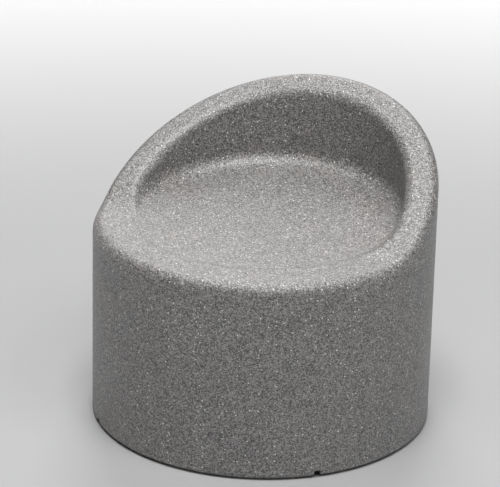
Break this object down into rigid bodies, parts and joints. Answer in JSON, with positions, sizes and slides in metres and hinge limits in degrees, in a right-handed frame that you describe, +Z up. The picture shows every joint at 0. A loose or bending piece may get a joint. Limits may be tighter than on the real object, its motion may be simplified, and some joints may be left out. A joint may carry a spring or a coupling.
{
  "type": "shower stool",
  "caption": "Round tub-shaped shower stool moulded from speckled bead foam, with a sloping backrest rim, a hollow ribbed underside and thin anti-slip strips.",
  "frame": {"origin": "centre of the foot, on the floor", "axes": "+Z up, the sitter faces -Y, the raised back is towards +Y, +X is to the left hand of the sitter"},
  "size_m": [0.4, 0.4, 0.3595],
  "materials": {
    "bead_foam": "speckled grey expanded bead foam with a fine grained moulded skin, satin to matte",
    "strip_rubber": "matte dark grey anti-slip rubber"
  },
  "bodies": {
    "root": {"foam_body": "bead_foam", "foot_strip_back": "strip_rubber", "foot_strip_left": "strip_rubber", "foot_strip_front": "strip_rubber", "foot_strip_right": "strip_rubber"}
  },
  "joints": []
}
